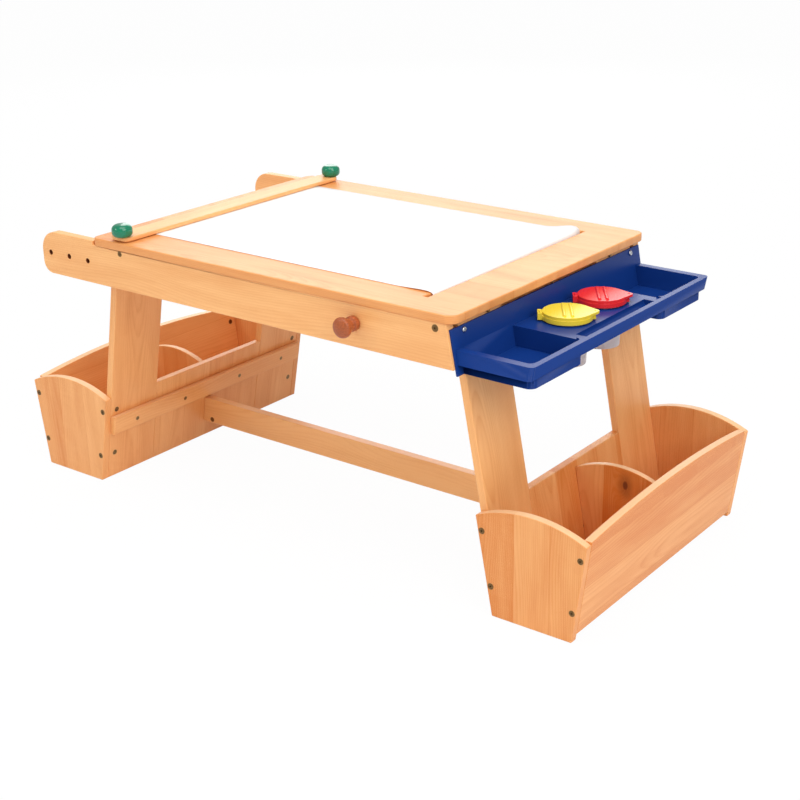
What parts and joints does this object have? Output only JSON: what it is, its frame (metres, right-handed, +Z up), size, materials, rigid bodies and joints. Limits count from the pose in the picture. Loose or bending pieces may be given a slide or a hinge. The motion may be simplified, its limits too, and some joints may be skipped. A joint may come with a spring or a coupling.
{
  "type": "kids table with storage",
  "caption": "Children's activity table with a paper roll fed through the top, a clamp bar, a paint tray with lidded cups, and divided storage bins between splayed legs.",
  "frame": {"origin": "on the floor under the middle of the table", "axes": "+X towards the paint tray, -Y towards the side with the rod's knob nearest the viewer, +Z up"},
  "size_m": [1.2936, 0.6866, 0.5425],
  "materials": {
    "pine": "clear satin varnish on glued softwood boards",
    "turned_wood": "turned, stained and varnished",
    "green_lacquer": "gloss enamel",
    "dark_zinc": "dark zinc plated",
    "bright_steel": "bright zinc plated",
    "blue_plastic": "moulded, satin gloss",
    "clear_plastic": "frosted translucent moulding",
    "yellow_plastic": "moulded gloss",
    "red_plastic": "moulded gloss",
    "paper": "matte drawing paper",
    "cardboard": "wound cardboard"
  },
  "bodies": {
    "root": {"table_top": "pine", "front_rail": "pine", "back_rail": "pine", "left_apron": "pine", "right_apron": "pine", "apron_bolts": "dark_zinc", "apron_dowels": "pine", "apron_screws": "dark_zinc", "left_leg_front": "pine", "left_leg_back": "pine", "right_leg_front": "pine", "right_leg_back": "pine", "left_inner_board": "pine", "right_inner_board": "pine", "left_outer_panel": "pine", "right_outer_panel": "pine", "left_end_panel_front": "pine", "left_end_panel_back": "pine", "right_end_panel_front": "pine", "right_end_panel_back": "pine", "left_divider": "pine", "right_divider": "pine", "left_bin_floor": "pine", "right_bin_floor": "pine", "left_cleat": "pine", "right_cleat": "pine", "cleat_screws": "dark_zinc", "left_bin_bolts": "dark_zinc", "right_bin_bolts": "dark_zinc", "left_bin_nuts": "dark_zinc", "right_bin_nuts": "dark_zinc", "stretcher": "pine", "stretcher_bolts": "dark_zinc", "stretcher_nuts": "dark_zinc", "clamp_nuts": "dark_zinc", "tray": "blue_plastic", "tray_screws": "bright_steel", "paper_sheet": "paper"},
    "clamp": {"clamp_bar": "pine"},
    "front_clamp_knob": {"clamp_knob_front": "green_lacquer"},
    "back_clamp_knob": {"clamp_knob_back": "green_lacquer"},
    "rod": {"paper_rod": "pine", "rod_knob_front": "turned_wood"},
    "far_rod_knob": {"rod_knob_back": "turned_wood"},
    "roll": {"roll_core": "cardboard", "paper_roll": "paper"},
    "yellow_paint_cup": {"yellow_cup": "clear_plastic", "yellow_lid": "yellow_plastic"},
    "yellow_flip_cap": {"yellow_cap": "yellow_plastic"},
    "red_paint_cup": {"red_cup": "clear_plastic", "red_lid": "red_plastic"},
    "red_flip_cap": {"red_cap": "red_plastic"}
  },
  "joints": [
    {"name": "clamp_lift", "type": "slide", "parent": "root", "child": "clamp", "axis": [0, 0, 1], "range_m": [0, 0.006]},
    {"name": "front_knob_turn", "type": "hinge", "parent": "clamp", "child": "front_clamp_knob", "pos_m": [-0.339, -0.292, 0.52], "axis": [0, 0, 1], "continuous": true},
    {"name": "back_knob_turn", "type": "hinge", "parent": "clamp", "child": "back_clamp_knob", "pos_m": [-0.339, 0.292, 0.52], "axis": [0, 0, 1], "continuous": true},
    {"name": "rod_pull", "type": "slide", "parent": "root", "child": "rod", "axis": [0, -1, 0], "range_m": [0, 0.6]},
    {"name": "far_knob_off", "type": "slide", "parent": "root", "child": "far_rod_knob", "axis": [0, 1, 0], "range_m": [0, 0.03]},
    {"name": "roll_turn", "type": "hinge", "parent": "root", "child": "roll", "pos_m": [0.207, 0, 0.463], "axis": [0, 1, 0], "continuous": true},
    {"name": "yellow_cup_lift", "type": "slide", "parent": "root", "child": "yellow_paint_cup", "axis": [0, 0, 1], "range_m": [0, 0.12]},
    {"name": "yellow_cap_flip", "type": "hinge", "parent": "yellow_paint_cup", "child": "yellow_flip_cap", "pos_m": [0.42214, -0.08181, 0.4618], "axis": [0.5736, -0.8192, 0], "range_deg": [0, 65]},
    {"name": "red_cup_lift", "type": "slide", "parent": "root", "child": "red_paint_cup", "axis": [0, 0, 1], "range_m": [0, 0.12]},
    {"name": "red_cap_flip", "type": "hinge", "parent": "red_paint_cup", "child": "red_flip_cap", "pos_m": [0.42214, 0.03019, 0.4618], "axis": [0.5736, -0.8192, 0], "range_deg": [0, 65]}
  ]
}
